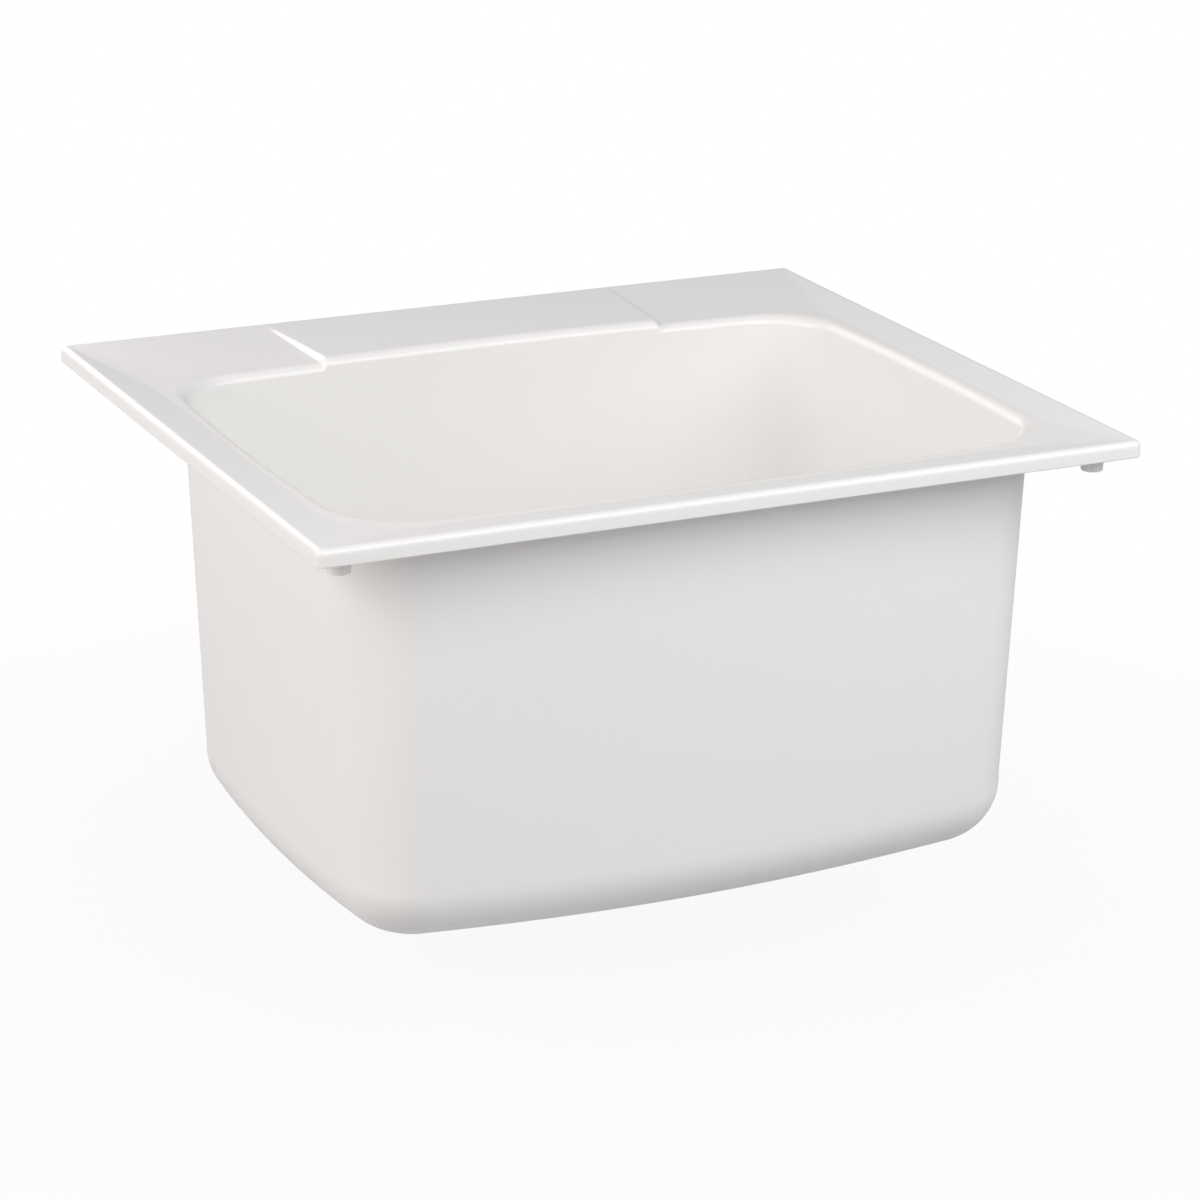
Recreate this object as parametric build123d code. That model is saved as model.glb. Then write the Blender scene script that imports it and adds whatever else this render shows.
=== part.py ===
from build123d import *
import os
from math import radians, tan

# Self-rimming utility sink: a one-piece moulded tub that drops into a worktop, with its drain.
# Millimetres. X runs along the long side, Y towards the tap deck at the back, Z up.
# The origin is the middle of the rim, on the plane of the worktop that the rim rests on.

# Rim
rim_width = 635.0
rim_depth = 558.8
rim_height = 12.5
rim_corner_radius = 14.0
rim_edge_radius = 5.0
skirt_wall = 5.0
ledge_wall = 5.0
ledge_fall = 4.0
ledge_flat = 2.0
mouth_radius = 8.0

# Bowl, outside, at the worktop plane; a bow is how far the middle of a wall stands out
bowl_width = 556.0
front_ledge = 37.0
back_ledge = 114.0
bowl_depth = 334.5
bowl_wall = 4.5
wall_draft = 1.8
corner_radius = 57.0
side_bow = 7.0
end_bow = 12.0
bottom_radius = 46.0
floor_fall = 5.0
floor_margin = 2.0

# Level tap panel in the middle of the deck
panel_width_back = 296.0
panel_width_front = 280.0
panel_side_slope = 2.5

# Posts that the hold-down clamps screw to, each with a moulded-in insert
post_inset_x = 25.5
post_inset_y = 27.4
post_drop = 16.0
post_foot_radius = 7.2
post_root_radius = 8.6
insert_radius = 4.75
insert_bore_radius = 2.6
insert_length = 12.7
insert_gap = 2.0

# Drain hole and its seats in the floor
drain_y = 0.0
drain_hole_radius = 44.45
drain_recess_radius = 59.5
drain_recess_depth = 2.0
drain_pad_radius = 63.0
drain_pad_wall = 6.0
drain_pad_margin = 3.0

# Strainer body, and the gasket under its flange
flange_radius = 57.15
flange_thickness = 1.5
flange_edge = 0.6
flange_gasket_radius = 55.5
flange_gasket_thickness = 1.6
cup_radius = 42.85
cup_wall = 1.6
cup_lead_in = 2.5
cup_straight_depth = 24.0
cup_cone_depth = 10.0
plate_thickness = 2.0
plate_hole_radius = 4.6
plate_hole_ring = 13.0
plate_hole_count = 6
catch_hole_radius = 3.4
outlet_radius = 23.8
outlet_bore_radius = 20.6
outlet_length = 16.0

# Rings and nuts below the floor
under_gasket_radius = 57.0
under_gasket_thickness = 3.2
friction_ring_thickness = 1.0
ring_clearance = 0.4
thread_clearance = 0.1
locknut_height = 9.0
locknut_radius = 51.0
locknut_lug_reach = 8.0
locknut_lug_width = 13.0
locknut_lug_count = 8
slip_nut_height = 17.0
slip_nut_across_flats = 56.0
slip_nut_sides = 8
slip_nut_lip = 2.2
nut_chamfer = 1.0
tail_washer_thickness = 2.4

# Tailpiece
tail_radius = 19.05
tail_wall = 1.2
tail_flange_radius = 23.0
tail_length = 29.0
tail_clearance = 0.3

# Lift-out basket
basket_rim_radius = 38.5
basket_top_radius = 36.0
basket_foot_radius = 27.5
basket_sheet = 1.0
basket_lip = 2.5
basket_below_flange = 3.5
basket_slot_width = 2.4
basket_slot_height = 15.0
basket_slot_count = 18
basket_hole_radius = 2.0
basket_floor_rings = {12.0: 6, 20.0: 12}
seal_thickness = 3.0
seal_gap = 0.5
stem_radius = 2.4
stem_collar_radius = 4.0
stem_collar_length = 11.0
stem_bulb_radius = 3.1
stem_bulb_length = 4.0
stem_bulb_taper = 1.2
washer_radius = 9.0
washer_thickness = 1.2
knob_radius = 11.0
knob_height = 13.0
knob_foot_radius = 6.0
knob_brow = 2.0
knob_edge = 5.0
knob_flare = 3.5
knob_bore_depth = 9.0

# Places worked out from the sizes above
bowl_front = front_ledge - rim_depth / 2
bowl_back = rim_depth / 2 - back_ledge
mouth_height = rim_height - ledge_fall
roof_edge = rim_height - ledge_wall
roof_mouth = mouth_height - ledge_wall
floor_apex = rim_height - bowl_depth
floor_edge = floor_apex + floor_fall
floor_apex_inside = floor_apex + bowl_wall
recess_height = floor_apex_inside - drain_recess_depth
pad_height = recess_height - drain_pad_wall
flange_bottom = recess_height + flange_gasket_thickness
flange_top = flange_bottom + flange_thickness
cup_bore_radius = cup_radius - cup_wall
cone_top = flange_top - cup_straight_depth
plate_top = cone_top - cup_cone_depth
plate_bottom = plate_top - plate_thickness
plate_radius = outlet_bore_radius + cup_wall
outlet_end = plate_bottom - outlet_length
gasket_bottom = pad_height - under_gasket_thickness
friction_bottom = gasket_bottom - friction_ring_thickness
locknut_bottom = friction_bottom - locknut_height
tail_top = outlet_end - tail_washer_thickness
slip_nut_bottom = tail_top - tail_wall - slip_nut_lip
basket_top = flange_top - basket_below_flange
seal_bottom = plate_top + seal_gap
basket_bottom = seal_bottom + seal_thickness
washer_bottom = basket_bottom + basket_sheet
washer_top = washer_bottom + washer_thickness
knob_bottom = washer_top + stem_collar_length


os.makedirs("parts", exist_ok=True)

def turned(*points):
    """Solid turned about the drain's axis from a closed outline of (radius, height) points."""
    face = make_face(Polyline(*points, close=True))
    return Pos(0, drain_y, 0) * revolve(Plane.XZ * face, Axis.Z)


def ring(inner, outer, bottom, top):
    """Flat ring about the drain's axis."""
    return turned((inner, bottom), (outer, bottom), (outer, top), (inner, top))


def outline(half_width, front, back, bow_x, bow_y, radius, height):
    """Rounded rectangle whose sides may bow outwards, lying flat at one height."""
    x = half_width - bow_x
    y_front = front + bow_y
    y_back = back - bow_y
    middle = (front + back) / 2
    corners = [(x, y_front), (x, y_back), (-x, y_back), (-x, y_front)]
    crowns = [(half_width, middle), (0, back), (-half_width, middle), (0, front)]
    bows = [bow_x, bow_y, bow_x, bow_y]
    sides = Curve()
    for i in range(4):
        start, end = corners[i], corners[(i + 1) % 4]
        sides += ThreePointArc(start, crowns[i], end) if bows[i] else Line(start, end)
    face = make_face(sides)
    return Pos(0, 0, height) * fillet(face.vertices(), radius)


def rim_outline(inset, height):
    """The rim's outline, drawn in by an inset."""
    half_depth = rim_depth / 2 - inset
    corner = rim_corner_radius - inset / 2
    return outline(rim_width / 2 - inset, -half_depth, half_depth, 0, 0, corner, height)


def bowl_outline(inset):
    """The bowl's outline at the worktop plane, drawn in by an inset from the outside of its wall."""
    half_width = bowl_width / 2 - inset
    front = bowl_front + inset
    back = bowl_back - inset
    return outline(half_width, front, back, side_bow, end_bow, corner_radius - inset, 0)


def mouth_outline(outset, height):
    """Straight-sided outline round the bowl's mouth, which the ledge falls to."""
    half_width = bowl_width / 2 - bowl_wall + outset
    front = bowl_front + bowl_wall - outset
    back = bowl_back - bowl_wall + outset
    return outline(half_width, front, back, 0, 0, corner_radius - bowl_wall + outset, height)


def floor_hips(inset):
    """The bowl's floor as four slopes, from a rectangle inside the bottom radius to the drain's pad."""
    draw_in = bottom_radius - floor_edge * tan(radians(wall_draft)) + floor_margin
    width = bowl_width - 2 * (side_bow + draw_in)
    front = bowl_front + end_bow + draw_in
    back = bowl_back - end_bow - draw_in
    pad = 2 * (drain_pad_radius + drain_pad_margin)
    high = Pos(0, (front + back) / 2, floor_edge + inset) * Rectangle(width, back - front)
    low = Pos(0, drain_y, floor_apex + inset) * Rectangle(pad, pad)
    return loft([high, low], ruled=True)


def bowl_body(inset, top):
    """Solid bowl: bowed drafted walls, a large bottom radius and a floor that falls to the drain."""
    edge = floor_edge + inset
    block = Pos(0, 0, edge) * extrude(bowl_outline(inset), amount=top - edge)
    sides = block.faces().filter_by(Axis.Z, reverse=True)
    block = draft(sides, Plane.XY, -wall_draft)
    block = fillet(block.faces().sort_by(Axis.Z)[0].edges(), bottom_radius - inset)
    return block + floor_hips(inset)


def panel_outline(inset, height):
    """The tap panel's outline: it narrows towards the bowl, and runs in over the mouth."""
    back = rim_depth / 2 - rim_edge_radius
    front = bowl_back - corner_radius
    taper = (panel_width_back - panel_width_front) / 2 / (back - bowl_back)
    x_back = panel_width_back / 2 - inset
    x_front = x_back - taper * (back - front)
    corners = [(x_front, front), (x_back, back), (-x_back, back), (-x_front, front)]
    return Pos(0, 0, height) * make_face(Polyline(*corners, close=True))


def panel(cavity):
    """Level panel of the deck, which stands higher and higher above the falling ledge."""
    foot = extrude(panel_outline(-panel_side_slope, roof_mouth), ledge_wall)
    low = panel_outline(-panel_side_slope, mouth_height)
    block = foot + loft([low, panel_outline(0, rim_height)], ruled=True) - cavity
    top = block.faces().sort_by(Axis.Z)[-1]
    front_edge = top.edges().filter_by(GeomType.LINE, reverse=True)
    return fillet(front_edge, mouth_radius)


def post_places():
    """Centres of the four posts, named by their corner."""
    x = rim_width / 2 - post_inset_x
    y = rim_depth / 2 - post_inset_y
    return {"front_left": (-x, -y), "front_right": (x, -y), "back_left": (-x, y), "back_right": (x, y)}


def post(x, y):
    """Tapered round post that hangs from the ledge's underside."""
    cone = Solid.make_cone(post_foot_radius, post_root_radius, post_drop + roof_edge)
    return Pos(x, y, -post_drop) * cone


def tub():
    """One-piece moulding: skirted rim, deck with a level tap panel, bowl and clamp posts."""
    slab = extrude(rim_outline(0, 0), rim_height)
    slab = fillet(slab.faces().sort_by(Axis.Z)[-1].edges(), rim_edge_radius)

    # The ledge falls from the rim's edge to a narrow flat round the mouth
    mouth = mouth_outline(mouth_radius + ledge_flat, mouth_height)
    slab = slab - loft([rim_outline(rim_edge_radius, rim_height), mouth], ruled=True)

    # Its underside is open, with a roof that follows the ledge
    hollow = extrude(rim_outline(skirt_wall, 0), roof_edge)
    roof_low = mouth_outline(mouth_radius + ledge_flat, roof_mouth)
    roof = loft([rim_outline(skirt_wall, roof_edge), roof_low], ruled=True)
    slab = slab - (hollow - roof)

    bowl = bowl_body(0, roof_edge)
    cavity = bowl_body(bowl_wall, rim_height + 1)
    shell = slab + bowl - cavity
    rims = shell.faces().filter_by(lambda f: abs(f.center().Z - mouth_height) < 0.01)
    mouth_edges = rims.sort_by(SortBy.AREA)[-1].inner_wires()[0].edges()
    shell = fillet(mouth_edges, mouth_radius)

    # The panel is as thick as the ledge, so the hollow reaches up under it
    under = extrude(panel_outline(ledge_wall - panel_side_slope, 0), roof_edge)
    shell = shell + panel(cavity) - ((hollow & under) - bowl)

    # Drain: a pad below the floor, a recess above it and the hole
    shell = shell + ring(0, drain_pad_radius, pad_height, floor_apex_inside)
    shell = shell - ring(0, drain_recess_radius, recess_height, floor_apex_inside + bottom_radius)
    shell = shell - ring(0, drain_hole_radius, pad_height, recess_height)

    insert_hole = Solid.make_cylinder(insert_radius, insert_length + insert_gap)
    for x, y in post_places().values():
        shell = shell + post(x, y)
        shell = shell - Pos(x, y, -post_drop) * insert_hole
    return shell


def threaded_insert(x, y):
    """Brass insert moulded into a post, flush with its foot."""
    foot = Pos(x, y, -post_drop)
    sleeve = Solid.make_cylinder(insert_radius, insert_length)
    bore = Solid.make_cylinder(insert_bore_radius, insert_length)
    return foot * (sleeve - bore)


def strainer_body():
    """Flanged cup with a pierced plate across its foot and a threaded outlet below."""
    body = turned((0, plate_bottom), (outlet_bore_radius, plate_bottom),
                  (outlet_bore_radius, outlet_end), (outlet_radius, outlet_end),
                  (outlet_radius, plate_bottom), (cup_radius, cone_top - cup_wall),
                  (cup_radius, flange_bottom), (flange_radius, flange_bottom),
                  (flange_radius, flange_top - flange_edge), (flange_radius - flange_edge, flange_top),
                  (cup_bore_radius + cup_lead_in, flange_top), (cup_bore_radius, flange_top - cup_lead_in),
                  (cup_bore_radius, cone_top), (plate_radius, plate_top), (0, plate_top))
    middle = Pos(0, drain_y, plate_bottom)
    hole = Solid.make_cylinder(plate_hole_radius, plate_thickness)
    body = body - middle * Solid.make_cylinder(catch_hole_radius, plate_thickness)
    for place in PolarLocations(plate_hole_ring, plate_hole_count):
        body = body - middle * place * hole
    return body


def locknut():
    """Cast ring nut with lugs for a spanner."""
    nut = ring(cup_radius + thread_clearance, locknut_radius, locknut_bottom, friction_bottom)
    lug = Box(locknut_lug_reach * 2, locknut_lug_width, locknut_height)
    middle = Pos(0, drain_y, locknut_bottom + locknut_height / 2)
    for place in PolarLocations(locknut_radius, locknut_lug_count):
        nut = nut + middle * place * lug
    nut = nut - ring(0, cup_radius + thread_clearance, locknut_bottom, friction_bottom)
    return nut


def slip_nut():
    """Many-sided nut that draws the tailpiece's flange up to the outlet."""
    section = RegularPolygon(slip_nut_across_flats / 2, slip_nut_sides, major_radius=False)
    blank = extrude(section, slip_nut_height)
    ends = blank.edges().filter_by(Plane.XY)
    blank = Pos(0, drain_y, slip_nut_bottom) * chamfer(ends, nut_chamfer)
    top = slip_nut_bottom + slip_nut_height
    lip_top = slip_nut_bottom + slip_nut_lip
    thread_bore = outlet_radius + thread_clearance
    lip_bore = tail_radius + tail_clearance
    return blank - turned((0, slip_nut_bottom), (lip_bore, slip_nut_bottom),
                          (lip_bore + slip_nut_lip, lip_top), (thread_bore, lip_top),
                          (thread_bore, top), (0, top))


def tailpiece():
    """Thin tube with a flange at its top, on a cone that the slip nut's lip seats round."""
    bore = tail_radius - tail_wall
    end = tail_top - tail_length
    under = tail_top - tail_wall
    return turned((bore, tail_top), (bore, end), (tail_radius, end),
                  (tail_radius, slip_nut_bottom), (tail_radius + slip_nut_lip, under),
                  (tail_flange_radius, under), (tail_flange_radius, tail_top))


def basket_cup():
    """Pressed sheet basket, slotted all round and pierced across its floor."""
    inner_floor = basket_bottom + basket_sheet
    lip_inner = basket_rim_radius - basket_sheet
    cup = turned((stem_radius, basket_bottom), (basket_foot_radius, basket_bottom),
                 (basket_top_radius, basket_top - basket_sheet), (lip_inner, basket_top - basket_sheet),
                 (lip_inner, basket_top - basket_lip), (basket_rim_radius, basket_top - basket_lip),
                 (basket_rim_radius, basket_top), (basket_top_radius - basket_sheet, basket_top),
                 (basket_foot_radius - basket_sheet, inner_floor), (stem_radius, inner_floor))
    hole = Solid.make_cylinder(basket_hole_radius, basket_sheet)
    slot = Box(basket_rim_radius, basket_slot_width, basket_slot_height)
    middle = Pos(0, drain_y, (basket_bottom + basket_top) / 2)
    holes = [middle * place * slot for place in PolarLocations(basket_rim_radius, basket_slot_count)]
    for radius, count in basket_floor_rings.items():
        for place in PolarLocations(radius, count):
            holes.append(Pos(0, drain_y, basket_bottom) * place * hole)
    return cup - holes


def basket_seal():
    """Rubber disc under the basket, bevelled to the cone that it closes."""
    slope = (cup_bore_radius - plate_radius) / cup_cone_depth
    low_radius = plate_radius
    high_radius = low_radius + slope * seal_thickness
    return turned((stem_radius, seal_bottom), (low_radius, seal_bottom), (high_radius, basket_bottom),
                  (stem_radius, basket_bottom))


def basket_stem():
    """Rod with a collar under the knob and a bulb that snaps through the plate."""
    shoulder = plate_bottom - stem_bulb_taper
    tip = shoulder - stem_bulb_length
    nose = tip + stem_bulb_taper
    top = knob_bottom + knob_bore_depth
    return turned((0, tip), (stem_radius, tip), (stem_bulb_radius, nose),
                  (stem_bulb_radius, shoulder), (stem_radius, plate_bottom),
                  (stem_radius, washer_top), (stem_collar_radius, washer_top),
                  (stem_collar_radius, knob_bottom), (stem_radius, knob_bottom),
                  (stem_radius, top), (0, top))


def basket_knob():
    """Moulded knob: straight foot, flared neck and a bevelled head."""
    top = knob_bottom + knob_height
    brow = top - knob_brow
    neck = brow - knob_flare
    bore_top = knob_bottom + knob_bore_depth
    return turned((0, top), (knob_radius - knob_edge, top), (knob_radius, brow),
                  (knob_radius, brow - knob_brow), (knob_foot_radius, neck - knob_brow),
                  (knob_foot_radius, knob_bottom), (stem_radius, knob_bottom),
                  (stem_radius, bore_top), (0, bore_top))


nodes = {
    "tub": tub(),
    "flange_gasket": ring(drain_hole_radius, flange_gasket_radius, recess_height, flange_bottom),
    "strainer_body": strainer_body(),
    "under_gasket": ring(cup_radius + ring_clearance, under_gasket_radius, gasket_bottom, pad_height),
    "friction_ring": ring(cup_radius + ring_clearance, under_gasket_radius, friction_bottom, gasket_bottom),
    "locknut": locknut(),
    "tailpiece_washer": ring(tail_radius, tail_flange_radius, tail_top, outlet_end),
    "tailpiece": tailpiece(),
    "slip_nut": slip_nut(),
    "basket_cup": basket_cup(),
    "basket_seal": basket_seal(),
    "basket_washer": ring(stem_radius, washer_radius, washer_bottom, washer_top),
    "basket_stem": basket_stem(),
    "basket_knob": basket_knob(),
}
for corner, (x, y) in post_places().items():
    nodes["insert_" + corner] = threaded_insert(x, y)

for name, solid in nodes.items():
    export_step(solid, "parts/" + name + ".step")
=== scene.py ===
"""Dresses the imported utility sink: its moulded tub, clamp posts and basket strainer drain."""

import bmesh
import bpy
import numpy as np
from mathutils import Matrix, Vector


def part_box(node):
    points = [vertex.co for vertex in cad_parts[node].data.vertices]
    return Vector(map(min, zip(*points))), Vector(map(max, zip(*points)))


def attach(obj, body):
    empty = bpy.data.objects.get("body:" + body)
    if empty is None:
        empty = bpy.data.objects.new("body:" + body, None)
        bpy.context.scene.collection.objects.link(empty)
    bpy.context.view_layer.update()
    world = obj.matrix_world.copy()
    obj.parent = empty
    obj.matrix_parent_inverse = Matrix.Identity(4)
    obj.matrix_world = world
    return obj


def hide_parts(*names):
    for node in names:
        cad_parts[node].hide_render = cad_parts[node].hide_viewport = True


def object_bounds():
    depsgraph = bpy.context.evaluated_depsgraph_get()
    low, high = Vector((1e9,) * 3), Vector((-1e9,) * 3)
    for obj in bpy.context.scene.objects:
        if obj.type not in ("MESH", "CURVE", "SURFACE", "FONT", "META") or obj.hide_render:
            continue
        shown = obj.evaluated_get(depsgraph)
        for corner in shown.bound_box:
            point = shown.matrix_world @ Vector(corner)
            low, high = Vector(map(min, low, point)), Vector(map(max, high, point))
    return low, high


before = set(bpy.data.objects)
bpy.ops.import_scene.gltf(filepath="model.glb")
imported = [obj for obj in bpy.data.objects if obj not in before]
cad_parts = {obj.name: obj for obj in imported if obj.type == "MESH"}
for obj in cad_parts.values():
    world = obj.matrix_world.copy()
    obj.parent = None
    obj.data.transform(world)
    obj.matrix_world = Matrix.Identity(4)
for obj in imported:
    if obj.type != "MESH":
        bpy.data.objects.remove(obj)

bl_info = {
    "name": "Utility sink",
    "version": (1, 0, 0),
    "blender": (4, 5, 0),
    "location": "View3D > Sidebar > Utility sink",
    "description": "Models and finishes a moulded self-rimming sink with its basket strainer drain",
    "category": "Add Mesh",
}

mm = 0.001
full_turn = 2 * np.pi
drain_columns = 96
basket_columns = 72
post_columns = 48

# Radii of rounded edges, from the sharpest to the roundest
hair = 0.1 * mm
thin = 0.2 * mm
keen = 0.3 * mm
trim = 0.4 * mm
crisp = 0.5 * mm
eased = 0.6 * mm
mild = 0.8 * mm
soft = 1 * mm
smooth = 1.2 * mm
blunt = 1.5 * mm
broad = 2 * mm
full = 3 * mm

cad_low, cad_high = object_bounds()
tub_low, tub_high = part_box("tub")
gasket_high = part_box("flange_gasket")[1]
strainer_low, strainer_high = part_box("strainer_body")
basket_low, basket_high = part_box("basket_cup")


def length(label, text, default):
    """A size in metres that the sidebar shows."""
    return bpy.props.FloatProperty(name=label, description=text, default=default, precision=5,
                                   unit="LENGTH")


def angle(label, text, degrees):
    """An angle that the sidebar shows in degrees."""
    return bpy.props.FloatProperty(name=label, description=text, default=np.radians(degrees),
                                   subtype="ANGLE")


def number(label, text, default):
    """A plain number."""
    return bpy.props.FloatProperty(name=label, description=text, default=default, min=0, precision=4)


def count(label, text, default):
    """How many there are of something."""
    return bpy.props.IntProperty(name=label, description=text, default=default, min=1)


def colour(label, text, default):
    """A colour that the sidebar shows."""
    return bpy.props.FloatVectorProperty(name=label, description=text, default=default, size=3,
                                         min=0, max=1, subtype="COLOR")


class TubSizes(bpy.types.PropertyGroup):
    """Sizes of the moulded tub that its box doesn't give"""

    rim_corner: length("Rim corner", "Radius of the rim's corners, seen from above", 6 * mm)
    rim_edge: length("Rim edge", "Radius of the rim's top edge", 5.5 * mm)
    skirt_wall: length("Skirt wall", "Thickness of the skirt", 5 * mm)
    skirt_lip: length("Skirt lip", "Radius along the skirt's foot", 1.2 * mm)
    ledge_wall: length("Ledge wall", "Thickness of the ledge", 5 * mm)
    deck_fall: length("Deck fall", "How far the back deck falls from the rim to the mouth", 4 * mm)
    ledge_fall: length("Ledge fall", "How far the front ledge falls to the mouth", 3.2 * mm)
    ledge_flat: length("Ledge flat", "Narrow flat round the mouth", 2 * mm)
    mouth_reach: length("Mouth reach", "Width of the roll from the ledge into the bowl", 8.5 * mm)
    mouth_depth: length("Mouth depth", "Depth of that roll", 6.5 * mm)
    mouth_front: length("Mouth front", "Radius of the mouth's front corners", 60 * mm)
    mouth_rear: length("Mouth rear", "Radius of the mouth's back corners", 42 * mm)
    panel_back: length("Panel back", "Half width of the tap panel at the rim", 148 * mm)
    panel_front: length("Panel front", "Half width of the tap panel at the mouth", 140 * mm)
    panel_slope: length("Panel slope", "Width of the tap panel's sloped sides", 5.2 * mm)
    bowl_half: length("Bowl half width", "Half width outside, at the worktop plane", 278 * mm)
    bowl_front: length("Bowl front", "Outside of the front wall there", -242.4 * mm)
    bowl_back: length("Bowl back", "Outside of the back wall there", 166.8 * mm)
    bowl_wall: length("Bowl wall", "Thickness of the bowl's wall", 4.5 * mm)
    wall_draft: angle("Wall draft", "How far the walls lean in towards the floor", 1.6)
    corner: length("Corner", "Radius of the bowl's front corners at the worktop plane", 55 * mm)
    corner_rear: length("Corner rear", "Radius of its back corners there", 52 * mm)
    corner_gain: length("Corner gain", "How much tighter the corners are at the walls' foot", 8 * mm)
    side_bow: length("Side bow", "How far the side walls stand out at their middle", 7 * mm)
    end_bow: length("End bow", "How far the front and back walls stand out", 10 * mm)
    bow_gain: length("Bow gain", "How much more the walls stand out at their foot", 3 * mm)
    bottom: length("Bottom radius", "Radius between the walls and the floor, outside", 46.5 * mm)
    bottom_corner: length("Bottom corner", "What is left of the corner radius on the floor", 3 * mm)
    floor_drop: length("Floor drop", "How far the floor's slope would drop below its pad", 6.6 * mm)
    floor_rise: number("Floor rise", "Slope of the floor, up from the drain", 0.045)
    floor_middle: length("Floor middle", "How far behind the drain the slope is centred", 20 * mm)
    root: length("Root", "Radius where the bowl meets the ledge's underside", 4 * mm)


class PostSizes(bpy.types.PropertyGroup):
    """Sizes of the clamp posts and their inserts"""

    foot: length("Foot", "Radius of a post at its foot", 8.0 * mm)
    foot_edge: length("Foot edge", "Radius round a post's foot", 0.8 * mm)
    foot_rise: length("Foot rise", "How far a post and its insert end above the insert's box", 2.4 * mm)
    neck: length("Neck", "Radius of a post below the ledge", 8.8 * mm)
    flare: length("Flare", "Radius of a post where it meets the ledge", 11.5 * mm)
    flare_height: length("Flare height", "Height in which a post widens to that", 4 * mm)
    flare_bend: length("Flare bend", "Radius where the post starts to widen", 6 * mm)
    flare_top: length("Flare top", "How far the ledge's underside there is below the rim's", 2.4 * mm)
    bury: length("Bury", "How far a post runs up into the ledge", 2 * mm)
    spare: length("Spare", "Depth of the hole past the insert", 2 * mm)
    clear: length("Clearance", "Room between an insert and its hole", 0.05 * mm)
    bore: length("Bore", "Radius of an insert's bore at the crests of its thread", 2.6 * mm)
    pitch: length("Pitch", "Pitch of an insert's thread", 1.27 * mm)
    depth: length("Depth", "Depth of an insert's thread", 0.55 * mm)
    chamfer: length("Chamfer", "Chamfer at each end of the bore", 0.75 * mm)
    edge: length("Edge", "Radius of an insert's edges", 0.15 * mm)


class DrainSizes(bpy.types.PropertyGroup):
    """Sizes of the drain hole, the strainer and what clamps it"""

    hole: length("Hole", "Radius of the hole in the tub's floor", 44.45 * mm)
    recess: length("Recess", "Radius of the recess that the flange sits in", 59.5 * mm)
    recess_depth: length("Recess depth", "Depth of the recess", 2 * mm)
    recess_ring: length("Recess ring", "Width of the ring of floor round the recess", 6 * mm)
    pad: length("Pad", "Radius of the thick pad under the floor", 63 * mm)
    pad_ring: length("Pad ring", "Width of the ring of floor round the pad", 9 * mm)
    pad_root: length("Pad root", "Radius where the pad meets the floor", 2.5 * mm)
    pad_wall: length("Pad wall", "Thickness of the pad under the recess", 6 * mm)
    cup: length("Cup", "Outside radius of the strainer's cup", 42.85 * mm)
    cup_wall: length("Cup wall", "Thickness of the cup", 1.6 * mm)
    flange_dish: length("Flange dish", "How far the flange falls towards the cup", 0.5 * mm)
    lead_in: length("Lead in", "Rounded edge from the flange into the cup", 2.5 * mm)
    straight: length("Straight", "Depth of the cup's straight wall", 24 * mm)
    cone: length("Cone", "Depth of the cone below it", 10 * mm)
    plate: length("Plate", "Thickness of the pierced plate", 2 * mm)
    plate_rim: length("Plate rim", "Width of the plate outside its ring of holes", 1.4 * mm)
    plate_hub: length("Plate hub", "Radius of the plate inside its ring of holes", 6 * mm)
    plate_hole: length("Plate hole", "Radius of the plate's holes", 4.6 * mm)
    plate_ring: length("Plate ring", "Radius of the ring that they lie on", 13 * mm)
    plate_holes: count("Plate holes", "Number of holes in the plate", 6)
    catch: length("Catch", "Radius of the middle hole that holds the basket's stem", 3.4 * mm)
    outlet: length("Outlet", "Outside radius of the outlet", 23.8 * mm)
    outlet_bore: length("Outlet bore", "Inside radius of the outlet", 20.6 * mm)
    gasket_edge: length("Gasket edge", "Radius of the edges of the gasket below the floor", 0.9 * mm)
    ring_bore: length("Ring bore", "Inside radius of the rings below the floor", 43.25 * mm)
    pitch: length("Pitch", "Pitch of the threads", 2.2 * mm)
    depth: length("Depth", "Depth of the threads", 0.7 * mm)
    relief: length("Relief", "Plain run at the end of a thread", 1.5 * mm)
    nut_gap: length("Nut gap", "Clearance between a nut and its thread", 0.1 * mm)
    nut_chamfer: length("Nut chamfer", "Chamfer at each end of a nut's thread", 1 * mm)
    lugs: count("Lugs", "Number of lugs on the locknut", 8)
    lug_width: length("Lug width", "Width of the lugs", 13 * mm)
    lug_reach: length("Lug reach", "How far the lugs stand out", 8 * mm)
    nut_sides: count("Nut sides", "Number of sides of the slip nut", 8)
    nut_flats: length("Nut flats", "Slip nut across its flats", 56 * mm)
    nut_bevel: length("Nut bevel", "What the turned bevel leaves outside the flats", 0.7 * mm)
    nut_lip: length("Nut lip", "Height of the slip nut's coned lip", 2.2 * mm)
    tail: length("Tail", "Outside radius of the tailpiece", 19.05 * mm)
    tail_wall: length("Tail wall", "Wall of the tailpiece", 1.2 * mm)
    tail_gap: length("Tail gap", "Clearance between the tailpiece and the slip nut", 0.3 * mm)


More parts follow.
